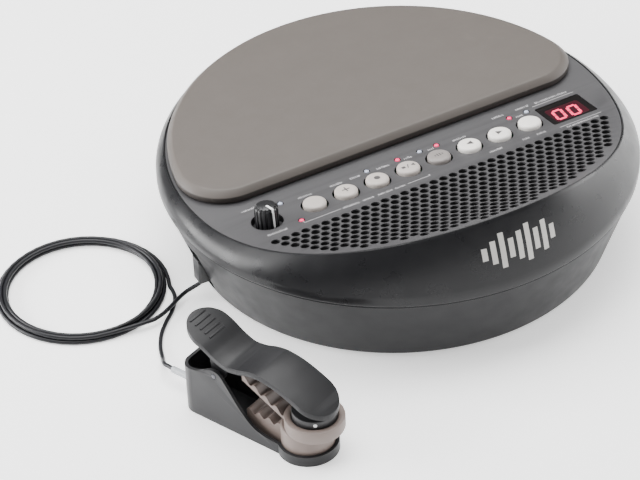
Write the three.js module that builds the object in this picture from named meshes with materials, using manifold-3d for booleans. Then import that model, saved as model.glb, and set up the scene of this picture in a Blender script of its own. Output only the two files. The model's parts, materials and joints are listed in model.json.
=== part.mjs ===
// Electronic drum pad: a round table-top percussion synthesiser with a rubber playing pad, a curved
// control panel over a small loudspeaker, and a clip sensor on a thin lead.
// Millimetres, +Z up. The pad side (the player's side) is +Y and the loudspeaker side is -Y.
import * as THREE from 'three';
import { mergeVertices } from 'three/addons/utils/BufferGeometryUtils.js';
import Module from 'manifold-3d';

const wasm = await Module();
wasm.setup();

// ---------- driving dimensions ----------
const GAP = 0.3;                 // clearance between neighbouring pieces
const CASE_R = 143.4;            // radius at the widest circle of the case
const BASE_R = 126.5;            // radius where the lower case meets its rounded bottom edge
const BASE_Z = 2;                // underside of the lower case above the table
const SEAM_Z = 51;               // parting line between the lower and upper case
const EQUATOR_Z = 56;            // height of the widest circle
const RIM_R = 136.1;             // outer radius of the upper case round the panel
const RIM_Y = 4.8;               // the rim circle is shifted towards the player by this much
const PANEL_R = 134.9;           // radius of the top panel
const PANEL_T = 2.5;             // thickness of the top panel
const DECK_Z = 64;               // height of the flat part of the top panel
const BEND_Y = -5;               // the panel starts to curve up here
const BEND_R = 275;              // radius of that curve
const WALL = 3.2;                // thickness of the case walls

const HOLE_PITCH = 13.14;        // spacing of the grille openings, each standing for four fine holes
const HOLE_R = 4.7;              // corner radius of one grille opening
const HOLE_TURN = 0.1;           // angle of a grille hole's corners from the X axis
const GRILLE_Y = -55.5;          // first row of the grille
const GRILLE_EDGE_Y = -49.5;     // the grille band of the panel starts here
const GRILLE_LIMIT = 127;        // grille openings stay within this distance of the panel's centre
const ROW_Y = -30.5;             // row of buttons
const BUTTON_PITCH = 21.02;
const BUTTON_R = 7;
const LED_Y = -17.4;
const LED_R = 1.5;
const KNOB_X = -104.3;
const KNOB_Y = -29.4;
const WELL_R = 9.5;
const SPEAKER_Y = -88;

const PAD_EDGE_Y = -4;           // straight edge of the playing pad
const PAD_R = 133.5;             // radius of the pad's round edge
const PAD_TOP = 72;
const PAD_CORNER = 28;

const CORD_D = 2.6;
const CORD_Z = CORD_D / 2 + 0.1; // centre height of a cord that lies on the table
const COIL_X = -190.5;
const COIL_Y = 47.3;
const COIL_IN = 43;
const COIL_OUT = 51.3;
const COIL_TOP = 5.4;

const CLIP_X = -147;             // centre of the clip's round front end
const CLIP_Y = -146.2;
const CLIP_TURN = -68;           // degrees from +X to the way the clip points
const CLIP_HALF = 14.5;           // half width of the clip's base
const CUP_R = 17.5;
const PIVOT_X = -54;             // the clip's hinge pin, from the centre of its front end
const PIVOT_Z = 34;
const JAW_X = 5.4;               // centre of the upper jaw pad

const rad = THREE.MathUtils.degToRad;

// Height of the top panel's upper face: flat under the pad, an arc towards the loudspeaker side.
function deckHeight(y) {
  const run = Math.max(0, BEND_Y - y);
  return DECK_Z + BEND_R - Math.sqrt(BEND_R * BEND_R - run * run);
}

// Slope angle of the top panel at a given y.
function deckSlope(y) {
  return Math.asin(Math.max(0, BEND_Y - y) / BEND_R);
}

// ---------- materials ----------
function plastic(color, roughness) {
  return new THREE.MeshStandardMaterial({ color, roughness, metalness: 0 });
}

function metal(color, roughness) {
  return new THREE.MeshStandardMaterial({ color, roughness, metalness: 1 });
}

const look = {
  upperCase: () => plastic(0x4b4b50, 0.35),
  lowerCase: () => plastic(0x343438, 0.45),
  panel: () => plastic(0x4d4b4e, 0.5),
  pad: () => plastic(0x8f8780, 0.75),
  lightKey: () => plastic(0xb9b2ab, 0.5),
  greyKey: () => plastic(0x8a8480, 0.5),
  whiteKey: () => plastic(0xdedad5, 0.45),
  black: () => plastic(0x121214, 0.4),
  smoked: () => plastic(0x160808, 0.1),
  litLamp: () => plastic(0xe0203a, 0.3),
  clearLamp: () => plastic(0xc8b8b6, 0.3),
  display: () => plastic(0x201012, 0.5),
  board: () => plastic(0x1f5a35, 0.6),
  foam: () => plastic(0x2a2a2a, 0.9),
  steel: () => metal(0xb8b8bc, 0.35),
  brass: () => metal(0xb89a58, 0.35),
  magnet: () => metal(0x55555a, 0.5),
  paper: () => plastic(0x1c1c1e, 0.85),
  foot: () => plastic(0x1a1a1a, 0.9),
  clip: () => plastic(0x48484d, 0.45),
  liner: () => plastic(0x8c7f7a, 0.8),
  sleeve: () => plastic(0xd5d8da, 0.3),
  cord: () => plastic(0x17171a, 0.5),
};

// ---------- solids ----------
// Turns a three.js geometry into a closed, outward-facing solid that booleans can use.
function solid(geometry) {
  const bare = geometry.index ? geometry.toNonIndexed() : geometry.clone();
  bare.deleteAttribute('normal');
  bare.deleteAttribute('uv');
  const merged = mergeVertices(bare, 1e-3);
  const place = merged.getAttribute('position').array;
  const faces = [];
  let volume = 0;
  const a = new THREE.Vector3();
  const b = new THREE.Vector3();
  const c = new THREE.Vector3();
  for (let i = 0; i < merged.index.count; i += 3) {
    const [p, q, r] = merged.index.array.slice(i, i + 3);
    if (p === q || q === r || r === p) continue;
    faces.push(p, q, r);
    a.fromArray(place, p * 3);
    b.fromArray(place, q * 3);
    c.fromArray(place, r * 3);
    volume += a.dot(b.cross(c));
  }
  if (volume < 0) faces.reverse();
  const mesh = new wasm.Mesh({
    numProp: 3,
    vertProperties: new Float32Array(place),
    triVerts: new Uint32Array(faces),
  });
  return new wasm.Manifold(mesh);
}

function geometryOf(manifold) {
  const mesh = manifold.getMesh();
  const geometry = new THREE.BufferGeometry();
  geometry.setAttribute('position', new THREE.BufferAttribute(mesh.vertProperties, 3));
  geometry.setIndex(new THREE.BufferAttribute(mesh.triVerts, 1));
  const flat = geometry.toNonIndexed();
  flat.computeVertexNormals();
  return flat;
}

// A box centred on x and y, standing on z.
function box(width, depth, height, x = 0, y = 0, z = 0) {
  const geometry = new THREE.BoxGeometry(width, depth, height);
  geometry.translate(x, y, z + height / 2);
  return solid(geometry);
}

// A round bar along Z, standing on z.
function rod(radius, height, x = 0, y = 0, z = 0, sides = 24) {
  const geometry = new THREE.CylinderGeometry(radius, radius, height, sides);
  geometry.rotateX(Math.PI / 2);
  geometry.translate(x, y, z + height / 2);
  return solid(geometry);
}

// A solid of revolution about Z from [radius, z] pairs. A profile off the axis closes on itself.
function turned(profile, segments = 32) {
  const points = profile.map(([r, z]) => new THREE.Vector2(r, z));
  const onAxis = profile[0][0] === 0 && profile[profile.length - 1][0] === 0;
  if (!onAxis) points.push(points[0].clone());
  const geometry = new THREE.LatheGeometry(points, segments);
  geometry.rotateX(Math.PI / 2);
  return solid(geometry);
}

// A flat outline in X and Y, raised from z by height.
function raised(shape, z, height, curveSegments = 12) {
  const geometry = new THREE.ExtrudeGeometry(shape, { depth: height, bevelEnabled: false, curveSegments });
  geometry.translate(0, 0, z);
  return solid(geometry);
}

// A side view outline in X and Z, made as wide as width and centred on y = 0.
function sideways(shape, width, curveSegments = 8) {
  const geometry = new THREE.ExtrudeGeometry(shape, { depth: width, bevelEnabled: false, curveSegments });
  geometry.translate(0, 0, -width / 2);
  geometry.rotateX(Math.PI / 2);
  return solid(geometry);
}

// A tube of a given radius along a smooth curve through the points.
function tube(points, radius, sides, steps) {
  const path = new THREE.CatmullRomCurve3(points.map((p) => new THREE.Vector3(...p)));
  const section = new THREE.Shape();
  for (let i = 0; i < sides; i += 1) {
    const angle = (i / sides) * 2 * Math.PI;
    const x = radius * Math.cos(angle);
    const y = radius * Math.sin(angle);
    if (i === 0) section.moveTo(x, y);
    else section.lineTo(x, y);
  }
  return solid(new THREE.ExtrudeGeometry(section, { steps, extrudePath: path, bevelEnabled: false }));
}

function outline(points) {
  return new THREE.Shape(points.map(([x, y]) => new THREE.Vector2(x, y)));
}

function circlePath(radius, x, y, sides, turn = 0) {
  const path = new THREE.Path();
  for (let i = 0; i < sides; i += 1) {
    const angle = turn + (i / sides) * 2 * Math.PI;
    const px = x + radius * Math.cos(angle);
    const py = y + radius * Math.sin(angle);
    if (i === 0) path.moveTo(px, py);
    else path.lineTo(px, py);
  }
  path.closePath();
  return path;
}

// ---------- scene graph ----------
const product = new THREE.Group();
const assembly = new THREE.Group();
product.add(assembly);

function group(parent, x, y, z) {
  const holder = new THREE.Group();
  holder.position.set(x, y, z);
  parent.add(holder);
  return holder;
}

function part(name, manifold, material, parent = assembly) {
  const mesh = new THREE.Mesh(geometryOf(manifold), material);
  mesh.name = name;
  parent.add(mesh);
  return mesh;
}

// A group that lies in the curved deck at (x, y), with its +Z along the deck's normal.
function deckGroup(x, y) {
  const holder = group(assembly, x, y, deckHeight(y));
  holder.rotation.x = -deckSlope(y);
  return holder;
}

// A group on the lower case's side at an angle from +X, with its +X pointing outwards.
function sideGroup(degrees, z) {
  const holder = group(assembly, 0, 0, z);
  holder.rotation.z = rad(degrees);
  return holder;
}

// ---------- case ----------
const BATTERY = { x: 10, y: -35, width: 70, depth: 100 };
const SCREW_R = 112;
const SCREW_ANGLES = [30, 120, 210, 300];
const FOOT_ANGLES = [45, 135, 225, 315];
const FOOT_R = 105;
const JACK_Z = 20;
const JACKS = [
  ['phones_jack', 165],
  ['aux_jack', 155],
  ['dc_jack', 145],
];
const CLIP_JACK_ANGLE = 177.4;
const SWITCH_ANGLE = 133;

function polar(radius, degrees) {
  return [radius * Math.cos(rad(degrees)), radius * Math.sin(rad(degrees))];
}

// A round bar along the local +X axis.
function spoke(radius, from, to, sides = 16) {
  const geometry = new THREE.CylinderGeometry(radius, radius, to - from, sides);
  geometry.rotateZ(Math.PI / 2);
  geometry.translate((from + to) / 2, 0, 0);
  return solid(geometry);
}

function turnTo(manifold, degrees, z) {
  return manifold.rotate([0, 0, degrees]).translate([0, 0, z]);
}

function lowerCase() {
  const lip = CASE_R - 0.8;
  let body = turned([
    [0, BASE_Z], [BASE_R - 6.5, BASE_Z], [BASE_R - 2, BASE_Z + 1.5], [BASE_R, BASE_Z + 4.5],
    [lip - 0.8, SEAM_Z - 1.8], [lip, SEAM_Z - 1.4], [lip, SEAM_Z - GAP],
    [lip - WALL, SEAM_Z - GAP],
    [BASE_R - WALL, BASE_Z + 6], [BASE_R - 6, BASE_Z + 3], [0, BASE_Z + 3],
  ], 48);
  const doorBlock = box(BATTERY.width + 2, BATTERY.depth + 16, 5, BATTERY.x, BATTERY.y + 7, BASE_Z);
  body = body.add(doorBlock);
  for (const angle of SCREW_ANGLES) {
    const [x, y] = polar(SCREW_R, angle);
    body = body.add(rod(5.5, SEAM_Z - GAP - BASE_Z, x, y, BASE_Z, 16));
  }
  for (const angle of SCREW_ANGLES) {
    const [x, y] = polar(SCREW_R, angle);
    body = body.subtract(rod(4, 38, x, y, 0, 16)).subtract(rod(1.9, 60, x, y, 0, 12));
  }
  for (const angle of FOOT_ANGLES) {
    const [x, y] = polar(FOOT_R, angle);
    body = body.subtract(rod(9 + GAP, BASE_Z + 1.5, x, y, 0));
  }
  // The battery door slides in a shallow recess that is longer than the opening above it.
  const doorRecess = box(BATTERY.width - 6, BATTERY.depth + 8, 4.3, BATTERY.x, BATTERY.y + 6, 0);
  const opening = box(BATTERY.width - 12, BATTERY.depth - 12, 10, BATTERY.x, BATTERY.y, 0);
  body = body.subtract(doorRecess).subtract(opening);
  for (const [, angle] of JACKS) {
    body = body.subtract(turnTo(spoke(4.5 + GAP, 118, 140), angle, JACK_Z));
  }
  body = body.add(turnTo(box(10, 20, 26, 124.5, 0, -15), CLIP_JACK_ANGLE, JACK_Z));
  body = body.subtract(turnTo(box(16, 14, 30, 133, 0, -14), CLIP_JACK_ANGLE, JACK_Z));
  body = body.subtract(turnTo(spoke(4.5 + GAP, 112, 130), CLIP_JACK_ANGLE, JACK_Z));
  body = body.subtract(turnTo(box(24, 12.6, 5, 130, 0, -2.5), SWITCH_ANGLE, JACK_Z));
  return body;
}

// The upper case is a ring. Each station of its section is [blend, out, up]: blend 0 lies on the
// widest circle of the case and blend 1 on the panel's rim, then out and up shift it.
const UPPER_SECTION = [
  [0, -0.4, SEAM_Z - EQUATOR_Z + 0.1], [0, 0, SEAM_Z - EQUATOR_Z + 0.7], [0, 0, 0],
  [0.25, 0.8, 0], [0.5, 1.1, 0], [0.75, 0.9, 0], [0.93, 0.4, 0], [1, 0, -0.3], [1, -0.3, 0.1],
  [1, -0.8, 0.1], [1, -0.8, -3], [1, -5.5, -3], [1, -5.5, -5], [1, -3.4, -5.6],
  [0, -WALL, -0.5], [0, -WALL, SEAM_Z - EQUATOR_Z + 0.1],
];

function upperCasePoint([blend, out, up], angle) {
  const radius = THREE.MathUtils.lerp(CASE_R, RIM_R, blend) + out;
  const y = RIM_Y * blend + radius * Math.sin(angle);
  const rimHeight = deckHeight(RIM_Y + (RIM_R + out) * Math.sin(angle));
  const z = THREE.MathUtils.lerp(EQUATOR_Z, rimHeight, blend) + up;
  return [radius * Math.cos(angle), y, z];
}

function upperCase() {
  const segments = 56;
  const section = [...UPPER_SECTION, UPPER_SECTION[0]];
  const ring = new THREE.LatheGeometry(section.map((s, i) => new THREE.Vector2(10 + i, i)), segments);
  const place = ring.getAttribute('position');
  for (let i = 0; i <= segments; i += 1) {
    const angle = ((i % segments) / segments) * 2 * Math.PI;
    section.forEach((station, j) => {
      place.setXYZ(i * section.length + j, ...upperCasePoint(station, angle));
    });
  }
  let body = solid(ring);
  for (const angle of SCREW_ANGLES) {
    const rib = box(CASE_R - WALL - SCREW_R + 1, 2.4, 5.5, (CASE_R - WALL + SCREW_R + 1) / 2, 0, SEAM_Z + 0.1);
    const [x, y] = polar(SCREW_R, angle);
    body = body.add(rib.rotate([0, 0, angle])).add(rod(4.5, 5.5, x, y, SEAM_Z + 0.1, 16));
    body = body.subtract(rod(1.8, 8, x, y, SEAM_Z - 1, 12));
  }
  return body;
}

// ---------- top panel ----------
function buttonX(i) {
  return (i - 3.5) * BUTTON_PITCH;
}

const LED_X = [-89.1, -31.1, -10.1, 5, 16.7, 67.6, 79.7];
const LIT_LEDS = [1, 4, 6, 7];
const LED_PLACES = [[-88, -40.5], ...LED_X.map((x) => [x, LED_Y])];
const WINDOW = { x: 100, y: -29.6, width: 30.3, depth: 22.1 };

// Rows of holes in a triangular pattern. Rows sit closer in plan as the deck gets steeper.
function grilleHoles() {
  const holes = [];
  let y = GRILLE_Y;
  for (let row = 0; y > RIM_Y - GRILLE_LIMIT; row += 1) {
    const shift = (row % 2) * 0.5;
    for (let k = -10; k <= 10; k += 1) {
      const x = (k + shift) * HOLE_PITCH;
      const topRowLimit = row === 0 ? 8.8 * HOLE_PITCH : Infinity;
      if (Math.hypot(x, y - RIM_Y) < GRILLE_LIMIT && Math.abs(x) < topRowLimit) holes.push([x, y]);
    }
    y -= HOLE_PITCH * (Math.sqrt(3) / 2) * Math.cos(deckSlope(y));
  }
  return holes;
}

function rectanglePath(width, depth, x, y) {
  return new THREE.Path([
    [-1, -1], [1, -1], [1, 1], [-1, 1],
  ].map(([sx, sy]) => new THREE.Vector2(x + (sx * width) / 2, y + (sy * depth) / 2)));
}

// The part of the panel's disc between two values of y.
function panelBand(front, back) {
  const frontAngle = Math.asin(Math.max(-1, (front - RIM_Y) / PANEL_R));
  const backAngle = Math.asin(Math.min(1, (back - RIM_Y) / PANEL_R));
  const band = new THREE.Shape();
  band.absarc(0, RIM_Y, PANEL_R, frontAngle, backAngle, false);
  band.absarc(0, RIM_Y, PANEL_R, Math.PI - backAngle, Math.PI - frontAngle, false);
  return band;
}

// Raises a flat sheet onto the deck's curve.
function bendSheet(shape) {
  const sheet = new THREE.ExtrudeGeometry(shape, { depth: PANEL_T, bevelEnabled: false, curveSegments: 20 });
  const place = sheet.getAttribute('position');
  for (let i = 0; i < place.count; i += 1) {
    place.setZ(i, place.getZ(i) - PANEL_T + deckHeight(place.getY(i)));
  }
  return solid(sheet);
}

function topPanel() {
  const padBand = panelBand(BEND_Y, RIM_Y + PANEL_R);
  padBand.holes.push(circlePath(18.2, 0, 66, 20));
  const controlBand = panelBand(GRILLE_EDGE_Y, BEND_Y);
  controlBand.holes.push(circlePath(WELL_R, KNOB_X, KNOB_Y, 20));
  const { width, depth } = WINDOW;
  controlBand.holes.push(rectanglePath(width + 2 * GAP, depth + 2 * GAP, WINDOW.x, WINDOW.y));
  for (let i = 0; i < 8; i += 1) controlBand.holes.push(circlePath(8.2, buttonX(i), ROW_Y, 16));
  for (const [x, y] of LED_PLACES) controlBand.holes.push(circlePath(LED_R + 0.5, x, y, 8));
  const grilleBand = panelBand(RIM_Y - PANEL_R, GRILLE_EDGE_Y);
  for (const [x, y] of grilleHoles()) grilleBand.holes.push(circlePath(HOLE_R, x, y, 4, HOLE_TURN));
  const well = turned([
    [WELL_R - 0.2, -1.2], [WELL_R + 1.2, -1.2], [WELL_R + 1.2, -6], [4, -6], [4, -5], [WELL_R - 0.2, -5],
  ], 20);
  const tilt = (-deckSlope(KNOB_Y) * 180) / Math.PI;
  const placed = well.rotate([tilt, 0, 0]).translate([KNOB_X, KNOB_Y, deckHeight(KNOB_Y)]);
  return bendSheet(padBand).add(bendSheet(controlBand)).add(bendSheet(grilleBand)).add(placed);
}

// D-shaped outline of the pad: a straight edge towards the controls, round everywhere else.
function padOutline(inset) {
  const radius = PAD_R - inset;
  const corner = PAD_CORNER - inset * 0.6;
  const edge = PAD_EDGE_Y + inset;
  const cornerY = edge + corner;
  const cornerX = Math.sqrt((radius - corner) ** 2 - (cornerY - RIM_Y) ** 2);
  const meet = Math.atan2(cornerY - RIM_Y, cornerX);
  const shape = new THREE.Shape();
  shape.moveTo(-cornerX, edge);
  shape.lineTo(cornerX, edge);
  shape.absarc(cornerX, cornerY, corner, -Math.PI / 2, meet, false);
  shape.absarc(0, RIM_Y, radius, meet, Math.PI - meet, false);
  shape.absarc(-cornerX, cornerY, corner, Math.PI - meet, 1.5 * Math.PI, false);
  return shape;
}

function drumPad() {
  const bevel = 3;
  const geometry = new THREE.ExtrudeGeometry(padOutline(bevel), {
    depth: 8, bevelEnabled: true, bevelSize: bevel, bevelThickness: bevel, bevelSegments: 1, curveSegments: 26,
  });
  geometry.translate(0, 0, PAD_TOP - 8 - bevel);
  const bottom = DECK_Z + GAP;
  const keep = box(300, 300, 40, 0, 0, bottom);
  const hollow = raised(padOutline(6), bottom - 1, 4.6, 14);
  return solid(geometry).intersect(keep).subtract(hollow);
}

// ---------- controls ----------
function buttonBody() {
  return turned([
    [0, 2.5], [5.6, 2.4], [6.6, 1.9], [BUTTON_R, 0.9], [BUTTON_R, -2.9], [9, -2.9], [9, -3.9], [3, -3.9],
    [3, -13], [0, -13],
  ], 14);
}

function knobBody() {
  const ribs = 20;
  const rim = [];
  for (let i = 0; i < ribs; i += 1) {
    const angle = (i / ribs) * 2 * Math.PI;
    const half = Math.PI / ribs;
    rim.push([7 * Math.cos(angle), 7 * Math.sin(angle)]);
    rim.push([7 * Math.cos(angle + half * 0.9), 7 * Math.sin(angle + half * 0.9)]);
    rim.push([6.4 * Math.cos(angle + half * 1.2), 6.4 * Math.sin(angle + half * 1.2)]);
    rim.push([6.4 * Math.cos(angle + half * 1.7), 6.4 * Math.sin(angle + half * 1.7)]);
  }
  const grip = raised(outline(rim), -4.5, 14.7).add(rod(6.2, 0.8, 0, 0, 10.2, 24));
  return grip.subtract(rod(3 + GAP, 12.5, 0, 0, -4.6, 16));
}

function addControls() {
  const keyLooks = ['lightKey', 'lightKey', 'lightKey', 'lightKey', 'greyKey', 'whiteKey', 'whiteKey', 'whiteKey'];
  keyLooks.forEach((name, i) => {
    part(`button_${i + 1}`, buttonBody(), look[name](), deckGroup(buttonX(i), ROW_Y));
  });
  LED_PLACES.forEach(([x, y], i) => {
    const lamp = turned([[0, 0.5], [LED_R * 0.7, 0.3], [LED_R, -0.3], [LED_R, -13.5], [0, -13.5]], 10);
    const lit = LIT_LEDS.includes(i + 1);
    part(`led_${i + 1}`, lamp, lit ? look.litLamp() : look.clearLamp(), deckGroup(x, y));
  });
  const knobPlace = deckGroup(KNOB_X, KNOB_Y);
  part('volume_knob', knobBody(), look.black(), knobPlace);
  const pot = box(16, 16, 7.4, 0, 0, -14.1).add(rod(3.6, 1, 0, 0, -7, 16)).add(rod(3, 12, 0, 0, -7, 16));
  part('volume_pot', pot, look.steel(), knobPlace);
  const windowPlace = deckGroup(WINDOW.x, WINDOW.y);
  part('display_window', box(WINDOW.width, WINDOW.depth, 2.2, 0, 0, -2.1), look.smoked(), windowPlace);
  part('display_module', box(29, 20, 9.5, 0, 0, -12), look.display(), windowPlace);
  const board = box(213, 38, 1.6, 0, 0, -18.2);
  part('panel_board', board, look.board(), deckGroup(0, -29));
}

// ---------- playing pad ----------
function addPad() {
  part('drum_pad', drumPad(), look.pad());
  const gasket = raised(padOutline(7), DECK_Z + GAP, 1.2, 14).subtract(raised(padOutline(17), DECK_Z, 3, 14));
  part('pad_gasket', gasket, look.foam());
  const plate = raised(padOutline(7), DECK_Z + 1.8, 1.5, 14);
  part('pad_plate', plate, look.steel());
  const sensor = rod(17.5, 0.6, 0, 66, DECK_Z + 0.9, 24).add(rod(13.5, 0.5, 0, 66, DECK_Z + 0.5, 24));
  part('head_sensor', sensor, look.brass());
}

// ---------- loudspeaker ----------
function addSpeaker() {
  const place = deckGroup(0, SPEAKER_Y);
  const frame = turned([
    [33, -6.5], [33, -5], [27, -5], [27, -6.6], [17.5, -20], [12.5, -20], [12.5, -21.5], [18.5, -21.5],
    [28.5, -8],
  ], 24);
  part('speaker_frame', frame, look.steel(), place);
  const cone = turned([
    [0, -12.5], [5, -13.5], [8, -15.5], [25.5, -6.2], [26.4, -5.4], [26.4, -6.2], [25.6, -7],
    [8.3, -17], [8.3, -19.5], [0, -19.5],
  ], 24);
  part('speaker_cone', cone, look.paper(), place);
  const magnet = turned([[0, -22], [17, -22], [17, -31], [0, -31]], 24);
  part('speaker_magnet', magnet, look.magnet(), place);
}

// ---------- inside and underneath ----------
function addInside() {
  part('main_board', box(130, 95, 1.6, 0, 33, 31), look.board());
  const shell = box(BATTERY.width, BATTERY.depth, 20, BATTERY.x, BATTERY.y, BASE_Z + 5.3);
  const hollow = box(BATTERY.width - 4, BATTERY.depth - 4, 20, BATTERY.x, BATTERY.y, BASE_Z + 3.3);
  part('battery_box', shell.subtract(hollow), look.black());
  const door = box(BATTERY.width - 6.6, BATTERY.depth - 6.6, 2, BATTERY.x, BATTERY.y, BASE_Z);
  part('battery_cover', door, look.lowerCase());
  FOOT_ANGLES.forEach((angle, i) => {
    const [x, y] = polar(FOOT_R, angle);
    const foot = turned([[0, 0], [8.2, 0], [9, 0.8], [9, BASE_Z + 1.2], [0, BASE_Z + 1.2]], 16);
    part(`foot_${i + 1}`, foot, look.foot(), group(assembly, x, y, 0));
  });
  SCREW_ANGLES.forEach((angle, i) => {
    const [x, y] = polar(SCREW_R, angle);
    const screw = turned([[0, 35.5], [3.4, 35.5], [3.4, 37.7], [1.5, 37.7], [1.5, 55.5], [0, 56.3]], 12);
    part(`case_screw_${i + 1}`, screw, look.steel(), group(assembly, x, y, 0));
  });
}

// ---------- sockets and switch ----------
function jackBody(bore) {
  const sleeve = spoke(4.5, 112, 130.5);
  return box(13, 13, 12, 111, 0, -6).add(sleeve).subtract(spoke(bore, 113, 132, 12));
}

function addSockets() {
  for (const [name, angle] of JACKS) {
    part(name, jackBody(name === 'dc_jack' ? 2.75 : 1.9), look.black(), sideGroup(angle, JACK_Z));
  }
  const clipSide = sideGroup(CLIP_JACK_ANGLE, JACK_Z);
  const clipJack = box(11, 13, 12, 106, 0, -6).add(spoke(4.5, 111, 124.3)).subtract(spoke(1.9 + GAP, 104, 126, 12));
  part('clip_jack', clipJack, look.black(), clipSide);
  const housing = box(9.5, 9.4, 15.5, 130.2, 0, -8.5);
  const plug = housing.add(spoke(1.9, 106, 126, 12)).add(box(8, 7.6, 2, 131, 0, 6.5));
  part('clip_plug', plug, look.black(), clipSide);
  const slider = box(3.4, 5.6, 4.2, 133.4, -2, -2.1).add(box(13.5, 8, 3, 126, -2, -1.5));
  part('power_switch', slider, look.black(), sideGroup(SWITCH_ANGLE, JACK_Z));
}

// ---------- clip sensor ----------
const clip = group(assembly, CLIP_X, CLIP_Y, 0);
clip.rotation.z = rad(CLIP_TURN);

// Rounded plan of the clip's base, from its back wall to the round front end.
function clipPlan(inset) {
  const half = CLIP_HALF - inset;
  const back = -78 + inset;
  const corner = 7 - inset;
  const shape = new THREE.Shape();
  shape.moveTo(back + corner, -half);
  shape.lineTo(0, -half);
  shape.lineTo(0, half);
  shape.lineTo(back + corner, half);
  shape.absarc(back + corner, half - corner, corner, Math.PI / 2, Math.PI, false);
  shape.absarc(back + corner, corner - half, corner, Math.PI, 1.5 * Math.PI, false);
  return shape;
}

function clipBase() {
  const side = outline([
    [-78, 0], [0, 0], [0, 6.5], [-12, 6.8], [-21, 7.8], [-28, 10.5], [-35.5, 17.5], [-42, 26], [-47, 33],
    [-50, 36.5], [-52.5, 37.6], [-56, 37.6], [-60, 35.8], [-66, 32.6], [-78, 31],
  ]);
  let body = sideways(side, 2 * CLIP_HALF).intersect(raised(clipPlan(0), -1, 50));
  body = body.add(rod(CUP_R, 6.5, 0, 0, 0, 32)).subtract(rod(CUP_R - 1.8, 6.5, 0, 0, 2.5, 32));
  body = body.subtract(raised(clipPlan(2), 2.5, 50));
  const pinHole = rod(1.5 + GAP, 60, 0, 0, -30, 16).rotate([90, 0, 0]).translate([PIVOT_X, 0, PIVOT_Z]);
  const leadHole = spoke(2.3, -82, -74).translate([0, 0, 9]);
  return body.subtract(pinHole).subtract(leadHole);
}

// Centre line of the lever's upper face in side view, from the thumb rest to its front end.
const LEVER_LINE = [
  [-82, 59.5], [-72, 56.6], [-62, 52.6], [-54, 48], [-46, 45], [-38, 45.8], [-30, 48.2], [-22, 49.2],
  [-12, 47.8], [-2, 44.4], [8, 39.8], [19.4, 34.2],
];
const LEVER_T = 3.2;

function leverPlan() {
  const shape = new THREE.Shape();
  shape.moveTo(-65.5, -14);
  shape.lineTo(-38, -13.5);
  shape.lineTo(JAW_X, -14);
  shape.absarc(JAW_X, 0, 14, -Math.PI / 2, Math.PI / 2, false);
  shape.lineTo(-38, 13.5);
  shape.lineTo(-65.5, 14);
  shape.absarc(-65.5, 0, 14, Math.PI / 2, 1.5 * Math.PI, false);
  return shape;
}

function leverStrip(top, bottom, width, from, to) {
  const line = new THREE.SplineCurve(LEVER_LINE.map(([x, z]) => new THREE.Vector2(x, z)));
  const points = line.getPoints(22).filter((p) => p.x >= from && p.x <= to);
  const upper = points.map((p) => [p.x, p.y - top]);
  const lower = points.map((p) => [p.x, p.y - bottom]).reverse();
  return sideways(outline([...upper, ...lower]), width);
}

function clipLever() {
  const plate = leverStrip(0, LEVER_T, 40, -90, 30).intersect(raised(leverPlan(), 20, 60));
  const ear = outline([
    [-60, 48.5], [-58.5, 34], [-56.5, 30.5], [-54, 29.5], [-51.5, 30.5], [-49.5, 34], [-46, 43.5],
  ]);
  const leftEar = sideways(ear, 2.4).translate([0, 9.2, 0]);
  const rightEar = sideways(ear, 2.4).translate([0, -9.2, 0]);
  const boss = rod(4, 11, JAW_X, 0, 31, 20).intersect(leverStrip(1, 12, 40, -90, 30));
  const pinHole = rod(1.5 + GAP, 60, 0, 0, -30, 16).rotate([90, 0, 0]).translate([PIVOT_X, 0, PIVOT_Z]);
  return plate.add(leftEar).add(rightEar).add(boss).subtract(pinHole);
}

// Rubber teeth along a jaw: a wavy strip from one x to another between two heights.
function toothed(from, to, startZ, endZ, thickness, wave) {
  const upper = [];
  const steps = 16;
  for (let i = 0; i <= steps; i += 1) {
    const t = i / steps;
    const z = THREE.MathUtils.lerp(startZ, endZ, t) + wave * Math.sin(t * 4 * 2 * Math.PI);
    upper.push([THREE.MathUtils.lerp(from, to, t), z]);
  }
  const lower = [[to, endZ - thickness], [from, startZ - thickness]];
  return sideways(outline([...upper, ...lower]), 18);
}

function addClip() {
  part('clip_base', clipBase(), look.clip(), clip);
  part('clip_lever', clipLever(), look.clip(), clip);
  const pin = rod(1.5, 29.4, 0, 0, -14.7, 16).rotate([90, 0, 0]).translate([PIVOT_X, 0, PIVOT_Z]);
  part('clip_pin', pin, look.steel(), clip);
  const pad = turned([[0, 3], [15, 3], [15.2, 3.6], [15.2, 16.6], [14.4, 17.5], [0, 17.5]], 36);
  part('lower_liner', pad.add(toothed(-36, -8, 16, 15, 12.4, 1.4)), look.liner(), clip);
  const ring = turned([
    [0, 18], [16.2, 18], [17, 18.8], [17, 25.2], [16.2, 26], [14, 26], [13.2, 25.2], [13.2, 20.2], [0, 20.2],
  ], 36).translate([JAW_X, 0, 0]);
  const strip = toothed(-38, -9, 38.5, 24, 3, 1.4).intersect(box(60, 40, 60, -38, 0, 0));
  part('upper_liner', ring.add(strip), look.liner(), clip);
  const housing = turned([[0, 20.5], [12, 20.5], [12.8, 21.3], [12.8, 30.6], [0, 30.6]], 32);
  part('piezo_housing', housing, look.black(), group(clip, JAW_X, 0, 0));
  part('clip_spring', springBody(), look.steel(), clip);
  const sleeve = spoke(2.1, -98, -74).subtract(spoke(CORD_D / 2 + GAP, -99, -84));
  part('strain_relief', sleeve, look.sleeve(), group(clip, 0, 0, 9));
}

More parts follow.
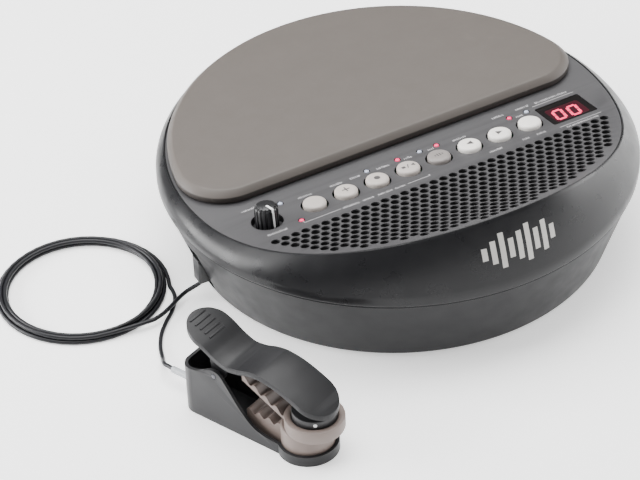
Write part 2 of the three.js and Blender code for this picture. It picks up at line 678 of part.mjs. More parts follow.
// Torsion spring round the hinge pin: one leg on the floor of the base, one under the lever.
function springBody() {
  const turns = 4;
  const perTurn = 10;
  const coilR = 3.1;
  const points = [[-70, -5.5, 4.2], [-62, -5.5, 18]];
  for (let i = 0; i <= turns * perTurn; i += 1) {
    const angle = Math.PI - (i / perTurn) * 2 * Math.PI;
    const y = -5 + (10 * i) / (turns * perTurn);
    points.push([PIVOT_X + coilR * Math.cos(angle), y, PIVOT_Z + coilR * Math.sin(angle)]);
  }
  points.push([-60.5, 5.5, 41], [-66, 5.5, 49.6]);
  return tube(points, 0.55, 5, 70);
}

// ---------- lead ----------
function addLead() {
  const toCoil = [
    [-131.8, 6.3, 10.2], [-133.4, 7, 8.4], [-136.6, 8.2, 6.4], [-142, 8.2, 4.9], [-148.5, 5.4, 4.4],
    [-154.5, 2, 4.3], [-160.5, -1.4, 4.1], [-166, -3.6, 3.6],
  ];
  part('lead_to_coil', tube(toCoil, CORD_D / 2, 8, 14), look.cord());
  const toClip = [
    [-145, 18.5, CORD_Z], [-146.8, 12.5, CORD_Z], [-150.7, 6.2, CORD_Z], [-156, -0.4, CORD_Z],
    [-163.3, -6.2, CORD_Z], [-170.6, -14.6, CORD_Z], [-176.6, -26, 1.6], [-181, -37.5, 3.2],
    [-184.6, -47.5, 7.6], [-183.9, -54.9, 9],
  ];
  part('lead_to_clip', tube(toClip, CORD_D / 2, 8, 24), look.cord());
  const ring = turned([
    [COIL_IN, 1.5], [COIL_IN + 1.2, 0.1], [COIL_OUT - 1.2, 0.1], [COIL_OUT, 1.5], [COIL_OUT - 1.4, COIL_TOP],
    [COIL_IN + 1.4, COIL_TOP],
  ], 48);
  part('cord_coil', ring, look.cord(), group(assembly, COIL_X, COIL_Y, 0));
}

part('lower_case', lowerCase(), look.lowerCase());
part('upper_case', upperCase(), look.upperCase());
part('top_panel', topPanel(), look.panel());
addPad();
addControls();
addSpeaker();
addInside();
addSockets();
addClip();
addLead();

// The origin is under the middle of the drum and its clip, on the table. The lead doesn't count.
const LEAD = ['lead_to_coil', 'lead_to_clip', 'cord_coil', 'clip_plug'];
const extent = new THREE.Box3();
assembly.updateMatrixWorld(true);
assembly.traverse((item) => {
  if (item.isMesh && !LEAD.includes(item.name)) extent.expandByObject(item, true);
});
const middle = extent.getCenter(new THREE.Vector3());
assembly.position.set(-middle.x, -middle.y, -extent.min.z);

export default product;
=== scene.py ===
"""Looks of a round electronic drum pad and its clip sensor, on the CAD frame, in metres."""
import json
import math
import random

import bmesh
import bpy
from mathutils import Matrix, Vector


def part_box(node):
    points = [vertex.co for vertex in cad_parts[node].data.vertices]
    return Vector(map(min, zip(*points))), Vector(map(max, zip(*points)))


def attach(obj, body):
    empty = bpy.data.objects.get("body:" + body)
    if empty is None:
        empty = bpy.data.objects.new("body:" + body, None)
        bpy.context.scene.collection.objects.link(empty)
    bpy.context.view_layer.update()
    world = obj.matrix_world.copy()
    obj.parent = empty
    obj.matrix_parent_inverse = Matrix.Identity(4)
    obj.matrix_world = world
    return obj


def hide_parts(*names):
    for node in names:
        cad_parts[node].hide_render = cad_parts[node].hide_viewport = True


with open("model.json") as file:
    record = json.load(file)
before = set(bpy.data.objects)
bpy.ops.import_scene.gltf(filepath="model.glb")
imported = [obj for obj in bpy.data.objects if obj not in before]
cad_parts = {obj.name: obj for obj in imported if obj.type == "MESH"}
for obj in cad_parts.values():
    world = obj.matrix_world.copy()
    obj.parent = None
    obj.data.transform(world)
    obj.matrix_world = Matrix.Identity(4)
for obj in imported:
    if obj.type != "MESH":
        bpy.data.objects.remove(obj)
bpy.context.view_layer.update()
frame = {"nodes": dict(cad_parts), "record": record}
scene = bpy.context.scene
rng = random.Random(7)

# ---------- driving dimensions, in millimetres round the drum's own axis ----------
MM = 0.001
CASE_R = 143.4              # widest circle of the case
BASE_R = 126.5              # top of the rounded bottom edge
BASE_Z = 2                  # underside of the case
SEAM_Z = 51                 # parting line
EQUATOR_Z = 56              # height of the widest circle
RIM_R = 136.1               # rim of the upper case round the panel
RIM_Y = 4.8                 # the rim's circle is shifted towards the player
PANEL_R = 134.9
PANEL_T = 1.2               # the part of the panel that shows
DECK_Z = 64                 # flat part of the panel
BEND_Y = -5                 # the panel curves up from here
BEND_R = 275
WALL = 3.2
GAP = 0.3

HOLE_PITCH = 6.57           # fine grille
HOLE_R = 2.72
GRILLE_Y = -52.6
GRILLE_LIMIT = 129.3

ROW_Y = -30.5
BUTTON_PITCH = 21.02
BUTTON_R = 7
LED_R = 1.5
LED_PLACES = [(-88, -40.5)] + [(x, -17.4) for x in (-89.1, -31.1, -10.1, 5, 16.7, 67.6, 79.7)]
LIT_LEDS = (1, 4, 6, 7)
KNOB = (-104.3, -29.4)
KNOB_POINTER = 188          # degrees the knob is turned
WELL_R = 9.5
WINDOW = (100, -29.6, 30.3, 22.1)

PAD_EDGE_Y = -4
PAD_R = 133.5
PAD_TOP = 72
PAD_CORNER = 28

JACK_Z = 20
JACKS = [("phones_jack", 165, 1.9), ("aux_jack", 155, 1.9), ("dc_jack", 145, 2.75)]
PLUG_ANGLE = 177.4
SWITCH_ANGLE = 133
FOOT_R = 105
FOOT_ANGLES = (45, 135, 225, 315)
SCREW_R = 112
SCREW_ANGLES = (30, 120, 210, 300)
BATTERY = (10, -35, 70, 100)

CLIP = (-147, -146.2)       # centre of the clip's round front end
CLIP_TURN = -68             # degrees from +X to the way the clip points
CLIP_HALF = 14.5
CUP_R = 17.5
PIVOT = (-54, 34)           # hinge pin, along the clip and up
JAW_X = 5.4

CORD_D = 2.6
COIL = (-190.5, 47.3)
COIL_START = -77            # degrees: where the plug's end of the lead joins the coil
COIL_TURNS = 4.84
COIL_IN = 43.9              # centre of the innermost strand
STRAND = 2.62               # strand to strand

low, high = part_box("lower_case")
DRUM = Matrix.Translation(((low.x + high.x) / 2, (low.y + high.y) / 2, 0)) @ Matrix.Scale(MM, 4)


def deck_height(y):
    run = max(0.0, BEND_Y - y)
    return DECK_Z + BEND_R - math.sqrt(BEND_R * BEND_R - run * run)


def deck_slope(y):
    return math.asin(max(0.0, BEND_Y - y) / BEND_R)


def on_deck(x, y):
    """Frame that lies in the deck at (x, y), with +Z along its normal."""
    place = Matrix.Translation((x, y, deck_height(y)))
    return DRUM @ place @ Matrix.Rotation(-deck_slope(y), 4, "X")


def at_side(degrees, z):
    """Frame on the lower case's side, with +X pointing outwards."""
    return DRUM @ Matrix.Rotation(math.radians(degrees), 4, "Z") @ Matrix.Translation((0, 0, z))


CLIP_FRAME = DRUM @ Matrix.Translation((*CLIP, 0)) @ Matrix.Rotation(math.radians(CLIP_TURN), 4, "Z")


def polar(radius, degrees):
    angle = math.radians(degrees)
    return radius * math.cos(angle), radius * math.sin(angle)


# ---------- camera, lights and floor ----------
def add_camera():
    azimuth, elevation, roll = (math.radians(a) for a in (-28.2742, 37.0085, -2.8529))
    across = Vector((math.cos(azimuth), math.sin(azimuth), 0))
    back = Vector((math.sin(azimuth) * math.cos(elevation),
                   -math.cos(azimuth) * math.cos(elevation), math.sin(elevation)))
    above = back.cross(across)
    target = Vector((0, 0, 50)) - 48.3269 * across - 45.4651 * above
    eye = DRUM @ (target + 1913.8 * back)
    right = math.cos(roll) * across + math.sin(roll) * above
    up = -math.sin(roll) * across + math.cos(roll) * above
    camera = bpy.data.objects.new("camera", bpy.data.cameras.new("camera"))
    camera.data.sensor_width = 36
    camera.data.lens = 181.26
    camera.data.clip_end = 50
    turn = Matrix((right, up, back)).transposed().to_4x4()
    camera.matrix_world = Matrix.Translation(eye) @ turn
    scene.collection.objects.link(camera)
    scene.camera = camera


def add_light(name, direction, distance, size, power, color=(1, 1, 1)):
    light = bpy.data.objects.new(name, bpy.data.lights.new(name, "AREA"))
    light.data.shape = "RECTANGLE"
    light.data.size, light.data.size_y = size
    light.data.energy = power
    light.data.color = color
    centre = Vector((0, 0, 0.05))
    away = Vector(direction).normalized()
    light.location = centre + away * distance
    light.rotation_euler = away.to_track_quat("Z", "Y").to_euler()
    scene.collection.objects.link(light)


def add_studio():
    world = bpy.data.worlds.new("studio")
    scene.world = world
    world.use_nodes = True
    tree = world.node_tree
    split = tree.nodes.new("ShaderNodeSeparateXYZ")
    tree.links.new(tree.nodes.new("ShaderNodeTexCoord").outputs["Generated"], split.inputs["Vector"])
    height = tree.nodes.new("ShaderNodeMapRange")
    height.inputs["From Min"].default_value = 0.25
    height.inputs["From Max"].default_value = 0.95
    height.inputs["To Min"].default_value = 0.22
    height.inputs["To Max"].default_value = 1.5
    tree.links.new(split.outputs["Z"], height.inputs["Value"])
    tree.links.new(height.outputs["Result"], tree.nodes["Background"].inputs["Strength"])
    tree.nodes["Background"].inputs["Color"].default_value = (1, 1, 1, 1)
    add_light("top_light", (0.0, 0.35, 1.6), 1.7, (1.9, 1.5), 62)
    add_light("left_light", (-0.87, 0.47, 0.3), 1.3, (0.9, 0.5), 30)
    add_light("right_light", (0.966, -0.26, 0.14), 1.3, (1.0, 0.4), 14)


add_camera()
add_studio()


# ---------- materials ----------
def surface(name, color, roughness, grain=0.4, bump=0.02, mottle=0.06, rough_range=0.05,
            wear=0.0, metallic=0.0, specular=0.5, side=None, **sockets):
    """A finish with fine grain, cloudy colour and gloss, paler worn edges, and, when a side colour is given, painted
    shade on faces turned sideways. grain and bump in mm.
    """
    material = bpy.data.materials.new(name)
    material.use_nodes = True
    tree = material.node_tree
    shader = tree.nodes["Principled BSDF"]
    shader.inputs["Metallic"].default_value = metallic
    shader.inputs["Specular IOR Level"].default_value = specular
    for socket, value in sockets.items():
        shader.inputs[socket.replace("_", " ")].default_value = value
    where = tree.nodes.new("ShaderNodeTexCoord").outputs["Object"]

    def noise(scale, detail=2.0):
        node = tree.nodes.new("ShaderNodeTexNoise")
        node.inputs["Scale"].default_value = scale
        node.inputs["Detail"].default_value = detail
        tree.links.new(where, node.inputs["Vector"])
        return node.outputs["Fac"]

    def remap(value, low_out, high_out, low_in=0.3, high_in=0.7):
        node = tree.nodes.new("ShaderNodeMapRange")
        node.inputs["From Min"].default_value = low_in
        node.inputs["From Max"].default_value = high_in
        node.inputs["To Min"].default_value = low_out
        node.inputs["To Max"].default_value = high_out
        tree.links.new(value, node.inputs["Value"])
        return node.outputs["Result"]

    def mix(factor, first, second):
        node = tree.nodes.new("ShaderNodeMix")
        node.data_type = "RGBA"
        tree.links.new(factor, node.inputs["Factor"])
        for socket, value in (("A", first), ("B", second)):
            target = [s for s in node.inputs if s.name == socket and s.type == "RGBA"][0]
            if isinstance(value, tuple):
                target.default_value = (*value, 1)
            else:
                tree.links.new(value, target)
        return [s for s in node.outputs if s.type == "RGBA"][0]

    dark = tuple(c * (1 - mottle) for c in color)
    light = tuple(min(1.0, c * (1 + mottle)) for c in color)
    tone = mix(remap(noise(55, 4.0), 0, 1), dark, light)
    geometry = tree.nodes.new("ShaderNodeNewGeometry")
    # Painted shade: faces turned from straight up towards the sides blend into the darker side colour, standing in
    # for shade from overhead light.
    if side:
        split = tree.nodes.new("ShaderNodeSeparateXYZ")
        tree.links.new(geometry.outputs["Normal"], split.inputs["Vector"])
        tone = mix(remap(split.outputs["Z"], 1, 0, 0.2, 0.8), tone, side)
    if wear:
        worn = tuple(min(1.0, c * (1 + wear) + 0.02 * wear) for c in color)
        edge = remap(geometry.outputs["Pointiness"], 0, 0.7, 0.52, 0.6)
        tone = mix(edge, tone, worn)
    scuffed = tuple(min(1.0, c * 1.2 + 0.001) for c in color)
    tone = mix(remap(noise(160, 8.0), 0, 0.35, 0.64, 0.74), tone, scuffed)
    tree.links.new(tone, shader.inputs["Base Color"])
    gloss = remap(noise(90, 5.0), roughness - rough_range, roughness + rough_range)
    tree.links.new(gloss, shader.inputs["Roughness"])
    relief = tree.nodes.new("ShaderNodeBump")
    relief.inputs["Distance"].default_value = bump * MM
    relief.inputs["Strength"].default_value = 0.8
    tree.links.new(noise(1 / (grain * MM), 2.0), relief.inputs["Height"])
    tree.links.new(relief.outputs["Normal"], shader.inputs["Normal"])
    return material


FINISH = {
    "upper_shell": surface("upper_shell_finish", (0.007, 0.007, 0.008), 0.3, 0.5, 0.006, specular=0.26),
    "lower_shell": surface("lower_shell_finish", (0.008, 0.008, 0.009), 0.42, 0.5, 0.012, wear=0.3,
                           specular=0.18),
    "panel_plastic": surface("panel_finish", (0.036, 0.035, 0.037), 0.46, 0.35, 0.02, wear=0.3),
    # The pad's side faces get the darker side colour as painted shade, and the top keeps its own taupe.
    "pad_rubber": surface("pad_finish", (0.08, 0.069, 0.061), 0.52, 0.3, 0.02, 0.03,
                          specular=0.4, side=(0.036, 0.03, 0.027)),
    "key_light": surface("key_light_finish", (0.42, 0.38, 0.35), 0.45, 0.3, 0.01),
    "key_grey": surface("key_grey_finish", (0.22, 0.2, 0.19), 0.45, 0.3, 0.01),
    "key_white": surface("key_white_finish", (0.75, 0.72, 0.68), 0.42, 0.3, 0.01),
    "knob_black": surface("knob_finish", (0.006, 0.006, 0.007), 0.36, 0.3, 0.01, wear=0.6),
    "socket_black": surface("socket_finish", (0.008, 0.008, 0.009), 0.4, 0.3, 0.01, wear=0.5),
    "window_smoked": surface("window_finish", (0.004, 0.003, 0.003), 0.12, 0.8, 0.001,
                             rough_range=0.02, specular=0.16),
    "lamp_lit": surface("lamp_lit_finish", (0.75, 0.03, 0.13), 0.25, 0.3, 0.002,
                        Emission_Color=(1, 0.04, 0.17, 1), Emission_Strength=0.9),
    "lamp_clear": surface("lamp_clear_finish", (0.42, 0.46, 0.56), 0.2, 0.3, 0.002),
    "display_parts": surface("display_finish", (0.02, 0.008, 0.008), 0.4, 0.4, 0.01),
    "circuit_board": surface("board_finish", (0.015, 0.11, 0.035), 0.35, 1.2, 0.03),
    "foam": surface("foam_finish", (0.02, 0.02, 0.02), 0.9, 0.6, 0.15),
    "steel": surface("steel_finish", (0.62, 0.62, 0.64), 0.28, 0.3, 0.006, metallic=1.0),
    "brass_disc": surface("brass_finish", (0.7, 0.52, 0.2), 0.3, 0.3, 0.006, metallic=1.0),
    "magnet_iron": surface("magnet_finish", (0.1, 0.1, 0.11), 0.5, 0.6, 0.03, metallic=1.0),
    "cone_paper": surface("cone_finish", (0.012, 0.012, 0.013), 0.85, 0.8, 0.08),
    "grille_black": surface("grille_black_finish", (0.001, 0.001, 0.001), 0.95, 0.8, 0.05, specular=0.1),
    "foot_rubber": surface("foot_finish", (0.012, 0.012, 0.012), 0.8, 0.5, 0.04),
    "clip_plastic": surface("clip_finish", (0.009, 0.009, 0.01), 0.38, 0.45, 0.02, wear=0.4, specular=0.24),
    "liner_rubber": surface("liner_finish", (0.16, 0.125, 0.11), 0.5, 0.4, 0.02),
    "sleeve_clear": surface("sleeve_finish", (0.7, 0.73, 0.76), 0.22, 0.4, 0.004,
                            Transmission_Weight=0.6, IOR=1.45),
    "cord_black": surface("cord_finish", (0.007, 0.007, 0.009), 0.34, 0.4, 0.008, specular=0.3),
}
INK = {
    "print_light": surface("print_light_finish", (0.42, 0.41, 0.42), 0.5, 0.2, 0.004),
    "print_dark": surface("print_dark_finish", (0.06, 0.055, 0.055), 0.5, 0.2, 0.004),
    "mark": surface("mark_finish", (0.4, 0.39, 0.37), 0.3, 0.2, 0.004),
    "digit": surface("digit_finish", (0.7, 0.03, 0.1), 0.4, 0.3, 0.001,
                     Emission_Color=(1, 0.03, 0.12, 1), Emission_Strength=1.3),
    "display_red": surface("display_red_finish", (0.03, 0.002, 0.006), 0.3, 0.3, 0.001, specular=0.15),
    "pointer": surface("pointer_finish", (0.8, 0.8, 0.8), 0.4, 0.2, 0.004),
    "dark_steel": surface("dark_steel_finish", (0.09, 0.09, 0.1), 0.35, 0.3, 0.006, wear=0.4, metallic=1.0),
}


# ---------- mesh helpers ----------
def lathe(profile, segments=128):
    """A closed solid of revolution from (radius, z) pairs. Ends off the axis join up."""
    mesh = bmesh.new()
    rings = []
    for radius, z in profile:
        if radius < 1e-6:
            rings.append([mesh.verts.new((0, 0, z))])
        else:
            turn = (i * 2 * math.pi / segments for i in range(segments))
            rings.append([mesh.verts.new((radius * math.cos(a), radius * math.sin(a), z)) for a in turn])
    pairs = list(zip(rings, rings[1:]))
    if len(rings[0]) > 1 and len(rings[-1]) > 1:
        pairs.append((rings[-1], rings[0]))
    for first, second in pairs:
        for i in range(segments):
            j = (i + 1) % segments
            corners = []
            for vert in (first[i % len(first)], first[j % len(first)],
                         second[j % len(second)], second[i % len(second)]):
                if vert not in corners:
                    corners.append(vert)
            if len(corners) > 2:
                mesh.faces.new(corners)
    return mesh


def loft(rings, closed=False, caps=True):
    """Skins a list of equal rings of points, with flat caps, or joins the last ring to the first."""
    mesh = bmesh.new()
    rows = [[mesh.verts.new(p) for p in ring] for ring in rings]
    count = len(rings[0])
    pairs = list(zip(rows, rows[1:]))
    if closed:
        pairs.append((rows[-1], rows[0]))
    for first, second in pairs:
        for i in range(count):
            j = (i + 1) % count
            mesh.faces.new((first[i], first[j], second[j], second[i]))
    if caps and not closed:
        mesh.faces.new(rows[0])
        mesh.faces.new(rows[-1])
    return mesh


def prism(outline, start, end, axis="Z"):
    """A flat outline raised along Z, or along Y from an outline in X and Z."""
    if axis == "Z":
        return loft([[(x, y, h) for x, y in outline] for h in (start, end)])
    return loft([[(x, h, z) for x, z in outline] for h in (start, end)])


def block(width, depth, height, x=0, y=0, z=0):
    """A box centred on x and y that stands on z."""
    w, d = width / 2, depth / 2
    return prism([(x - w, y - d), (x + w, y - d), (x + w, y + d), (x - w, y + d)], z, z + height)


def rod_along(axis, radius, start, end, segments=48, place=(0, 0, 0)):
    mesh = lathe([(0, start), (radius, start), (radius, end), (0, end)], segments)
    turn = {"X": Matrix.Rotation(math.pi / 2, 4, "Y"), "Y": Matrix.Rotation(-math.pi / 2, 4, "X"),
            "Z": Matrix.Identity(4)}[axis]
    bmesh.ops.transform(mesh, matrix=Matrix.Translation(place) @ turn, verts=mesh.verts)
    return mesh


def arc_points(cx, cy, radius, start, end, count):
    steps = (math.radians(start + (end - start) * i / count) for i in range(count + 1))
    return [(cx + radius * math.cos(a), cy + radius * math.sin(a)) for a in steps]


def spline(points, steps=8):
    """Catmull-Rom curve through points of any dimension."""
    result = []
    ends = [points[0]] + list(points) + [points[-1]]
    for a, b, c, d in zip(ends, ends[1:], ends[2:], ends[3:]):
        for i in range(steps):
            t = i / steps
            result.append(tuple(
                0.5 * (2 * q + (r - p) * t + (2 * p - 5 * q + 4 * r - s) * t * t
                       + (3 * q - p - 3 * r + s) * t ** 3)
                for p, q, r, s in zip(a, b, c, d)))
    result.append(tuple(points[-1]))
    return result


def raw(name, mesh, matrix=None):
    """A bare object from a bmesh in millimetres, put in the row frame."""
    bmesh.ops.recalc_face_normals(mesh, faces=mesh.faces)
    bmesh.ops.transform(mesh, matrix=matrix or DRUM, verts=mesh.verts)
    data = bpy.data.meshes.new(name)
    mesh.to_mesh(data)
    mesh.free()
    obj = bpy.data.objects.new(name, data)
    scene.collection.objects.link(obj)
    return obj


def bake_modifiers(obj):
    graph = bpy.context.evaluated_depsgraph_get()
    data = bpy.data.meshes.new_from_object(obj.evaluated_get(graph))
    obj.modifiers.clear()
    obj.data = data


def carve(obj, operation, tools):
    """Cuts, joins or crosses obj with other bare objects, which are used up."""
    for tool in tools:
        modifier = obj.modifiers.new("boolean", "BOOLEAN")
        modifier.operation = operation
        modifier.solver = "EXACT"
        modifier.object = tool
    bake_modifiers(obj)
    for tool in tools:
        bpy.data.objects.remove(tool)
    return obj


def soften(obj, width, segments=2, angle=35):
    modifier = obj.modifiers.new("edges", "BEVEL")
    modifier.width = width * MM
    modifier.segments = segments
    modifier.limit_method = "ANGLE"
    modifier.angle_limit = math.radians(angle)
    modifier.miter_outer = "MITER_ARC"
    bake_modifiers(obj)
    return obj


def finish(obj, finish_name, body="root", stands_for=(), sharp=38, material=None):
    """Gives a bare object its finish, its shading and its body."""
    obj.data.materials.clear()
    obj.data.materials.append(material or FINISH[finish_name])
    if obj.type == "MESH":
        obj.data.shade_smooth()
        obj.data.set_sharp_from_angle(angle=math.radians(sharp))
    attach(obj, body)
    if stands_for:
        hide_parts(*stands_for)
    return obj


def wire(name, points, diameter, matrix=None):
    """A round wire or cord as a curve through points in millimetres."""
    curve = bpy.data.curves.new(name, "CURVE")
    curve.dimensions = "3D"
    curve.bevel_depth = diameter / 2 * MM
    curve.bevel_resolution = 6
    curve.use_fill_caps = True
    line = curve.splines.new("POLY")
    line.points.add(len(points) - 1)
    for target, point in zip(line.points, points):
        target.co = (*((matrix or DRUM) @ Vector(point)), 1)
    line.use_smooth = True
    obj = bpy.data.objects.new(name, curve)
    scene.collection.objects.link(obj)
    return obj


# ---------- cord ----------
def coil_point(turns):
    """Centre of the cord after so many turns: two turns on top going in, the rest below going out."""
    angle = COIL_START - 360 * turns
    if turns < 2:
        start = 49.0
        radius = start + (COIL_IN - start) * turns / 2
        drop = max(0.0, (turns - 1.72) / 0.28)
        height = 4.1 - 2.7 * drop * drop * (3 - 2 * drop)
    else:
        radius = COIL_IN + STRAND * (turns - 2)
        height = 1.4
    x, y = polar(radius, angle)
    return COIL[0] + x, COIL[1] + y, height


def cord_route():
    to_coil = [
        (-131.8, 6.3, 12.0), (-131.8, 6.3, 10.2), (-133.4, 7, 8.4), (-136.6, 8.2, 6.4), (-142, 8.2, 4.9),
        (-148.5, 5.4, 4.4), (-154.5, 2, 4.2), (-160.5, -1.1, 4.1), (-166.5, -3.2, 4.1), (-173, -3.7, 4.1),
    ]
    to_clip = [
        (-144.9, 22.5, 1.4), (-145.6, 17.5, 1.4), (-147.2, 11.8, 1.4), (-150.7, 6.0, 1.4), (-156, -0.4, 1.4),
        (-163.3, -7.2, 1.4), (-170.6, -15.6, 1.4), (-176.6, -26, 1.6), (-181, -37.5, 3.2),
        (-184.4, -46.5, 7.2), (-184.0, -53.0, 8.9), (-183.1, -56.9, 9), (-179.2, -66.5, 9),
    ]
    steps = 40
    first = 0.06
    coil = [coil_point(first + (COIL_TURNS - first) * i / (steps * 5)) for i in range(steps * 5 + 1)]
    entry = spline(to_coil + coil[:3], 8)[:-17]
    leaving = spline(coil[-3:] + to_clip, 8)[17:]
    return entry + coil[:-1][1:] + [coil[-1]] + leaving


def add_cord():
    route = cord_route()
    cord = wire("sensor_cord", route, CORD_D)
    length = sum((Vector(b) - Vector(a)).length for a, b in zip(route, route[1:]))
    finish(cord, "cord_black", stands_for=("lead_to_coil", "lead_to_clip", "cord_coil"))
    DRUM @ Vector(route[0])
    return length


# ---------- case ----------
def add_lower_case():
    lip = CASE_R - 0.8
    edge = arc_points(BASE_R - 5, BASE_Z + 5, 5, -90, -20, 10)
    profile = [(0, BASE_Z)] + edge + [
        (lip - 0.9, SEAM_Z - 1.9), (lip - 0.5, SEAM_Z - 1.65), (lip - 0.15, SEAM_Z - 1.5),
        (lip, SEAM_Z - 1.3), (lip, SEAM_Z - 0.5), (lip - 0.25, SEAM_Z - 0.3),
        (lip - WALL, SEAM_Z - 0.3), (BASE_R - WALL, BASE_Z + 6), (BASE_R - 6, BASE_Z + 3), (0, BASE_Z + 3)]
    case = raw("lower_shell", lathe(profile, 240))
    x, y, width, depth = BATTERY
    door_block = raw("tool", block(width + 2, depth + 16, 3, x, y + 7, BASE_Z + 2))
    carve(case, "UNION", [door_block])
    tools = [raw("tool", block(width - 6, depth + 8, 4.3, x, y + 6, 0)),
             raw("tool", block(width - 12, depth - 12, 10, x, y, 0))]
    for angle in SCREW_ANGLES:
        tools.append(raw("tool", rod_along("Z", 4, 0, 20, 32, (*polar(SCREW_R, angle), 0))))
    for angle in FOOT_ANGLES:
        tools.append(raw("tool", rod_along("Z", 9.3, 0, BASE_Z + 1.5, 48, (*polar(FOOT_R, angle), 0))))
    for _, angle, _ in JACKS:
        tools.append(raw("tool", rod_along("X", 4.8, 118, 145), at_side(angle, JACK_Z)))
    tools.append(raw("tool", block(16, 14, 30, 133, 0, -14), at_side(PLUG_ANGLE, JACK_Z)))
    tools.append(raw("tool", block(24, 12.6, 5, 130, 0, -2.5), at_side(SWITCH_ANGLE, JACK_Z)))
    carve(case, "DIFFERENCE", tools)
    pocket = raw("tool", block(2.5, 17, 22, 124.5, 0, -13), at_side(PLUG_ANGLE, JACK_Z))
    hole = raw("tool", rod_along("X", 4.8, 112, 130), at_side(PLUG_ANGLE, JACK_Z))
    carve(pocket, "DIFFERENCE", [hole])
    carve(case, "UNION", [pocket])
    finish(case, "lower_shell", stands_for=("lower_case",), sharp=30)


def shell_point(blend, out, up, angle):
    """A point of the upper case: blend 0 on the widest circle and 1 on the panel's rim."""
    radius = CASE_R + (RIM_R - CASE_R) * blend + out
    y = RIM_Y * blend + radius * math.sin(angle)
    rim = deck_height(RIM_Y + (RIM_R + out) * math.sin(angle))
    return radius * math.cos(angle), y, EQUATOR_Z + (rim - EQUATOR_Z) * blend + up


def shell_bulge(blend):
    return 1.12 * math.sin(math.pi * min(1.0, blend))


def add_upper_case():
    base = SEAM_Z - EQUATOR_Z
    section = [(0, -0.55, base + 0.1), (0, -0.3, base + 0.15), (0, -0.1, base + 0.4), (0, 0, base + 0.8)]
    section += [(t / 16, shell_bulge(t / 16), 0) for t in range(16)]
    section += [(0.985, 0.02, 0), (1, 0, -0.35), (1, -0.1, -0.1), (1, -0.35, 0.08), (1, -0.7, 0.1),
                (1, -0.8, 0), (1, -0.8, -3), (1, -5.5, -3), (1, -5.5, -5), (1, -3.4, -5.6),
                (0, -WALL, -0.5), (0, -WALL, base + 0.1)]
    count = 288
    angles = [i * 2 * math.pi / count for i in range(count)]
    rings = [[shell_point(*station, a) for a in angles] for station in section]
    case = raw("upper_shell", loft(rings, closed=True))
    finish(case, "upper_shell", stands_for=("upper_case",), sharp=30)


def shell_place(x, z, lift):
    """The point of the upper case's front at a given x and z, lifted off its surface."""
    angle = -math.pi / 2
    for _ in range(8):
        rim = deck_height(RIM_Y + RIM_R * math.sin(angle))
        blend = (z - EQUATOR_Z) / (rim - EQUATOR_Z)
        radius = CASE_R + (RIM_R - CASE_R) * blend + shell_bulge(blend)
        angle = -math.acos(x / radius)
    return shell_point(blend, shell_bulge(blend) + lift, 0, angle)


def add_front_mark():
    """A generic sound-level mark: bars of different heights, printed on the front."""
    heights = (7, 13, 20, 11, 16, 21, 12, 17, 8)
    pitch, width, middle = 5.5, 3.3, 75.5
    mesh = bmesh.new()
    for i, height in enumerate(heights):
        centre = -2.5 + (i - 4) * pitch
        grid = [[mesh.verts.new(shell_place(centre + width * (a / 4 - 0.5), middle + height * (b / 12 - 0.5), 0.06))
                 for a in range(5)] for b in range(13)]
        for row, above in zip(grid, grid[1:]):
            for a in range(4):
                mesh.faces.new((row[a], row[a + 1], above[a + 1], above[a]))
    mark = raw("front_mark", mesh)
    finish(mark, "key_light", material=INK["mark"])


# ---------- top panel ----------
def grille_holes():
    y = GRILLE_Y
    row = 0
    while y > RIM_Y - GRILLE_LIMIT:
        limit = 17.6 * HOLE_PITCH if row == 0 else GRILLE_LIMIT
        for k in range(-20, 21):
            x = (k + 0.5 * (row % 2)) * HOLE_PITCH
            if math.hypot(x, y - RIM_Y) < GRILLE_LIMIT and abs(x) < limit:
                yield x, y
        y -= HOLE_PITCH * math.sqrt(3) / 2 * math.cos(deck_slope(y))
        row += 1


def add_loop(curve, points):
    line = curve.splines.new("POLY")
    line.points.add(len(points) - 1)
    for target, (x, y) in zip(line.points, points):
        target.co = (x, y, 0, 1)
    line.use_cyclic_u = True


def rectangle(width, depth, x, y, corner=0.0):
    w, d = width / 2 - corner, depth / 2 - corner
    points = []
    for sx, sy, start in ((1, 1, 0), (-1, 1, 90), (-1, -1, 180), (1, -1, 270)):
        if corner:
            points += arc_points(x + sx * w, y + sy * d, corner, start, start + 90, 6)
        else:
            points.append((x + sx * w, y + sy * d))
    return points


def circle(radius, x, y, count, turn=0.0):
    return arc_points(x, y, radius, turn, turn + 360 * (count - 1) / count, count - 1)


def bend_to_deck(mesh, lift=0.0):
    """Slices a flat sheet across the curve and raises each point onto the deck."""
    for step in range(42):
        plane = BEND_Y - 3 * step
        geometry = list(mesh.verts) + list(mesh.edges) + list(mesh.faces)
        bmesh.ops.bisect_plane(mesh, geom=geometry, plane_co=(0, plane, 0), plane_no=(0, 1, 0))
    for vert in mesh.verts:
        vert.co.z += deck_height(vert.co.y) + lift


